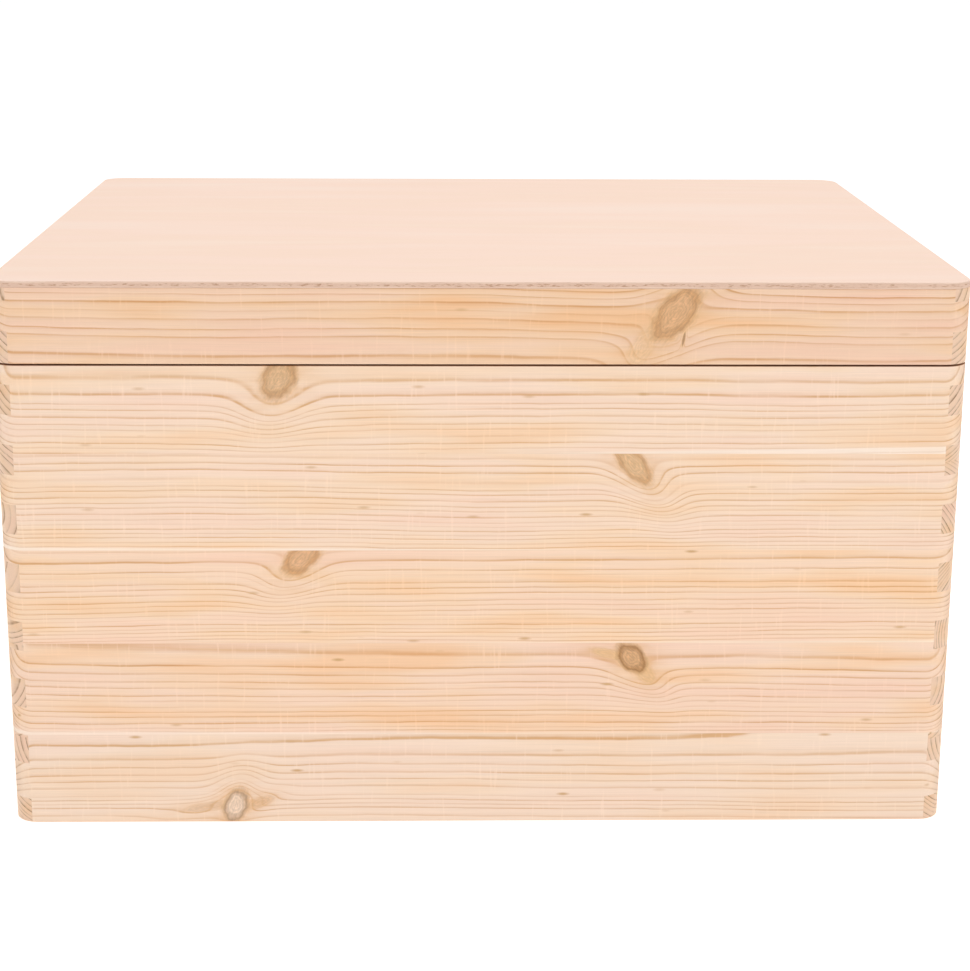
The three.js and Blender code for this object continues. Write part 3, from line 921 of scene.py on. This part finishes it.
pin_low, pin_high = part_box("left_hinge_pin")
axis = (pin_low + pin_high) / 2
leaf_back = sheet_high.y
leaf_face = leaf_back + 1.5 * MM
barrel, bore, plate_gap = 3 * MM, 1.65 * MM, 3.3 * MM
knuckle, knuckle_gap = 12 * MM, 0.3 * MM
knuckle_count, leaf_screw_count = 5, 3
leaf_corner, leaf_burr = 3 * MM, 0.18 * MM
mouth_radius, throat_radius, mouth_rise, throat_depth = 3.5 * MM, 1.7 * MM, 0.3 * MM, 1.8 * MM
zinc_sheet = zinc("zinc_plated_steel_hinge", 0.22)


def hinge_leaf(name, cad_node, rise, first):
    """A leaf above or below the pin: plate, rolled knuckles, bore and countersinks."""
    low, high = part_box(cad_node)
    edges = sorted((axis.z + rise * plate_gap, high.z if rise > 0 else low.z))
    leaf = block(name, (low.x, leaf_back, edges[0]), (high.x, leaf_face, edges[1]))
    outer = edges[1] if rise > 0 else edges[0]

    def outer_corner(edge):
        a, b = ends(leaf, edge)
        return abs(a.y - b.y) > 1e-4 and abs(a.z - outer) < 1e-5

    edit(leaf, outer_corner, "EDGE")
    bpy.ops.mesh.bevel(offset=leaf_corner, segments=8, affect="EDGES")
    bpy.ops.object.mode_set(mode="OBJECT")
    left_end = axis.x - knuckle_count * knuckle / 2
    for i in range(first, knuckle_count, 2):
        start = left_end + i * knuckle + (knuckle_gap / 2 if i else 0)
        stop = left_end + (i + 1) * knuckle - (knuckle_gap / 2 if i < knuckle_count - 1 else 0)
        neck = sorted((axis.z, axis.z + rise * (plate_gap + MM)))
        weld(leaf,
             rod("roll", (start, axis.y, axis.z), (stop, axis.y, axis.z), barrel, 48),
             block("neck", (start, leaf_back, neck[0]), (stop, leaf_face, neck[1])))
    reach = Vector((knuckle_count * knuckle, 0, 0))
    apply_cut(leaf, rod("bore", axis - reach, axis + reach, bore, 48), discard=True)
    for number in range(1, leaf_screw_count + 1):
        a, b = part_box(f"{cad_node}_screw_{number}")
        middle = (a + b) / 2
        mouth = (middle.x, leaf_face + mouth_rise, middle.z)
        throat = (middle.x, leaf_face - throat_depth, middle.z)
        countersink = rod("countersink", mouth, throat, mouth_radius, 48, throat_radius)
        apply_cut(leaf, countersink, discard=True)
    soften(leaf, leaf_burr)
    leaf.data.materials.clear()
    leaf.data.materials.append(zinc_sheet)
    return leaf


right_hinge = Vector((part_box("right_hinge_pin")[0].x - pin_low.x, 0, 0))
for part, rise, first in (("case", -1, 0), ("lid", 1, 1)):
    for hand in ("left", "right"):
        cad_name = f"{hand}_hinge_{part}_leaf"
        if hand == "left":
            leaf = model = hinge_leaf(f"{hand}_{part}_plate", cad_name, rise, first)
        else:
            leaf = own_copy(model, f"{hand}_{part}_plate", right_hinge)
        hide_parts(cad_name)
        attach(leaf, part)

# The pin is a plain wire with a low riveted head at each end.
pin_radius, rivet_radius, rivet = 1.5 * MM, 2.3 * MM, 0.8 * MM
pin = rod("left_pin_wire", (pin_low.x + rivet / 2, axis.y, axis.z),
          (pin_high.x - rivet / 2, axis.y, axis.z), pin_radius, 32)
for end, inward in ((pin_low.x, 1), (pin_high.x, -1)):
    weld(pin, rod("rivet", (end + inward * rivet, axis.y, axis.z), (end, axis.y, axis.z),
                  rivet_radius, 32, rivet_radius - rivet / 2))
soften(pin, 0.12 * MM)
pin.data.materials.clear()
pin.data.materials.append(zinc("zinc_plated_wire", 0.12))
pins = {"left": pin, "right": own_copy(pin, "right_pin_wire", right_hinge)}
for hand, piece in pins.items():
    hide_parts(f"{hand}_hinge_pin")
    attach(piece, "case")

# ---- Hinge screws ----------------------------------------------------------------------
# Twelve 11 mm countersunk wood screws, zinc plated, with a cross recess for the driver.

screw_low, screw_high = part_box("left_hinge_case_leaf_screw_1")
screw_at = Vector(((screw_low.x + screw_high.x) / 2, leaf_face, (screw_low.z + screw_high.z) / 2))


def along_screw(depth):
    """A point on the screw's axis, at a depth under its head's face."""
    return screw_at - Vector((0, depth, 0))


def cross_recess(piece, at, direction, width, depth):
    """Presses a driver's cross into a screw's head, with two flat tapered blades."""
    at, direction = Vector(at), Vector(direction).normalized()
    tip, mouth = at + direction * depth, at - direction * 0.3 * MM
    side = direction.orthogonal().normalized()
    thinning = 0.72
    for flat in (side, direction.cross(side)):
        blade = rod("blade", tip, mouth, width * 0.30, 4, width * 0.55)
        for vertex in blade.data.vertices:
            vertex.co -= flat * (vertex.co - at).dot(flat) * thinning
        apply_cut(piece, blade, discard=True)


head_radius, neck_radius, shank_radius, tip_radius = 2.9 * MM, 1.4 * MM, 1.35 * MM, 0.05 * MM
head_depth, shank_end, tip_end, lap = 1.5 * MM, 9 * MM, 11 * MM, 0.2 * MM
screw = rod("screw_1", along_screw(head_depth), along_screw(0), neck_radius, 32, head_radius)
weld(screw,
     rod("shank", along_screw(shank_end), along_screw(head_depth - lap), shank_radius, 24),
     rod("tip", along_screw(tip_end), along_screw(shank_end - lap), tip_radius, 24, shank_radius))
cross_recess(screw, screw_at, (0, -1, 0), 3.4 * MM, 1.1 * MM)
deselect_all()
screw.select_set(True)
bpy.context.view_layer.objects.active = screw
bpy.ops.object.shade_smooth_by_angle(angle=math.radians(35))
screw.data.materials.clear()
screw.data.materials.append(zinc("zinc_plated_screw", 0.16))
placed = 0
for hand in ("left", "right"):
    for part in ("case", "lid"):
        for number in range(1, leaf_screw_count + 1):
            cad_name = f"{hand}_hinge_{part}_leaf_screw_{number}"
            a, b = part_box(cad_name)
            goal = Vector(((a.x + b.x) / 2, leaf_face, (a.z + b.z) / 2))
            placed += 1
            piece = screw if placed == 1 else own_copy(screw, f"screw_{placed}", goal - screw_at)
            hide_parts(cad_name)
            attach(piece, part)

# ---- Lid stay --------------------------------------------------------------------------
# A slotted steel arm inside the right wall, on a shoulder screw in the lid's rail. Its slot
# slides along a second one in the case, and a nylon washer under each keeps it off the wood.

inner_x = half_width - wall


def centre_of(cad_node):
    a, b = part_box(cad_node)
    return (a + b) / 2


pivot, guide = centre_of("stay_pivot_washer"), centre_of("stay_guide_washer")
down = Vector((0, guide.y - pivot.y, guide.z - pivot.z)).normalized()
arm_low, arm_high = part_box("stay_arm")
arm_half, slot_half = 8 * MM, 2.85 * MM

# The two screws stand 120 mm from the hinge's pin, one 20 mm above it and one 30 mm below,
# and the lid opens 100 degrees, so these are the closed and the open reach between them.
stay_reach, pivot_rise, guide_drop, half_opening = 120, 20, 30, math.radians(50)
shut_reach = (guide - pivot).length
open_reach = 2 * stay_reach * MM * math.sin(
    math.asin(pivot_rise / stay_reach) / 2 + math.asin(guide_drop / stay_reach) / 2 + half_opening)


def flat_bar(name, start, stop, half, low_x, high_x, segments):
    """A bar with round ends, from start to stop along the arm, measured from the pivot."""
    deselect_all()
    middle = pivot + down * (start + stop) / 2
    middle.x = (low_x + high_x) / 2
    bpy.ops.mesh.primitive_cube_add(
        size=1, location=middle, rotation=(math.atan2(-down.y, down.z), 0, 0),
        scale=(high_x - low_x, 2 * half, stop - start + 2 * half))
    bpy.ops.object.transform_apply(location=True, rotation=True, scale=True)
    bar = bpy.context.object
    bar.name = name
    edit(bar, lambda edge: abs(ends(bar, edge)[0].x - ends(bar, edge)[1].x) > 0.5 * MM, "EDGE")
    bpy.ops.mesh.bevel(offset=half - 0.005 * MM, segments=segments, affect="EDGES")
    bpy.ops.object.mode_set(mode="OBJECT")
    return bar


slot_margin = 4 * MM
arm = flat_bar("stay_strap", 0, open_reach + slot_margin, arm_half, arm_low.x, arm_high.x, 16)
slot = flat_bar("slot", shut_reach, open_reach, slot_half, arm_low.x - MM, arm_high.x + MM, 12)
apply_cut(arm, slot, discard=True)
hole = rod("hole", (arm_low.x - MM, pivot.y, pivot.z), (arm_high.x + MM, pivot.y, pivot.z),
           slot_half, 32)
apply_cut(arm, hole, discard=True)
edit(arm, lambda face: True)
bpy.ops.mesh.normals_make_consistent(inside=False)
bpy.ops.object.mode_set(mode="OBJECT")
soften(arm, 0.25 * MM)
arm.data.materials.clear()
arm.data.materials.append(zinc("zinc_plated_strap", 0.26))
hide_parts("stay_arm")
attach(arm, "stay")

# Natural nylon, moulded: milky and half glossy, with a faint cloudiness about 3 mm across.
nylon, tree = new_material("natural_nylon")
place = node(tree, "TexCoord").outputs["Object"]
cloud = node(tree, "TexNoise", {"Vector": place, "Scale": 320, "Detail": 2})
hue = node(tree, "ValToRGB", {"Fac": cloud}, stops=((0.3, "#E6E1D6"), (0.7, "#F0ECE3")))
surface = node(tree, "BsdfPrincipled", {
    "Base Color": hue, "Roughness": 0.42, "Subsurface Weight": 0.2,
    "Subsurface Radius": (1, 1, 1), "Subsurface Scale": 0.8 * MM,
})
node(tree, "OutputMaterial", {"Surface": surface})
zinc_shoulder = zinc("zinc_plated_shoulder_screw", 0.14)

# Each screw is turned from bar: a low crowned head, a plain shoulder for the arm and a thread
# end in the wood. These are their radii, and how deep in the wall each part ends, in mm.
washer_radius, head_radius, crown_radius = 6.5 * MM, 5.5 * MM, 3.9 * MM
shoulder_radius, shank_radius, tip_radius = 2.6 * MM, 1.4 * MM, 0.1 * MM
washer_face, head_face, head_top, crown_top = -0.75, -3.25, -4.35, -5.65
shank_end, tip_end, lap = 8, 9.5, 0.1

for part, label, at in (("lid", "pivot", pivot), ("case", "guide", guide)):
    def on_axis(depth):
        """A point on the screw's axis, at a depth in the wall in mm."""
        return (inner_x + depth * MM, at.y, at.z)

    washer = rod(f"{label}_disc", on_axis(washer_face), on_axis(0), washer_radius, 48)
    apply_cut(washer, rod("hole", on_axis(-2), on_axis(1), slot_half, 48), discard=True)
    soften(washer, 0.12 * MM)
    washer.data.materials.clear()
    washer.data.materials.append(nylon)
    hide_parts(f"stay_{label}_washer")
    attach(washer, part)

    bolt = rod(f"{label}_shoulder_screw", on_axis(head_top), on_axis(head_face), head_radius, 48)
    weld(bolt,
         rod("crown", on_axis(crown_top), on_axis(head_top), crown_radius, 48, head_radius),
         rod("shoulder", on_axis(head_face - lap), on_axis(0), shoulder_radius, 48),
         rod("shank", on_axis(-lap), on_axis(shank_end), shank_radius, 24),
         rod("tip", on_axis(shank_end - lap), on_axis(tip_end), shank_radius, 24, tip_radius))
    cross_recess(bolt, on_axis(crown_top), (1, 0, 0), 4.6 * MM, 1.5 * MM)
    soften(bolt, 0.2 * MM, 30)
    bolt.data.materials.clear()
    bolt.data.materials.append(zinc_shoulder)
    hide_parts(f"stay_{label}_screw")
    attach(bolt, part)
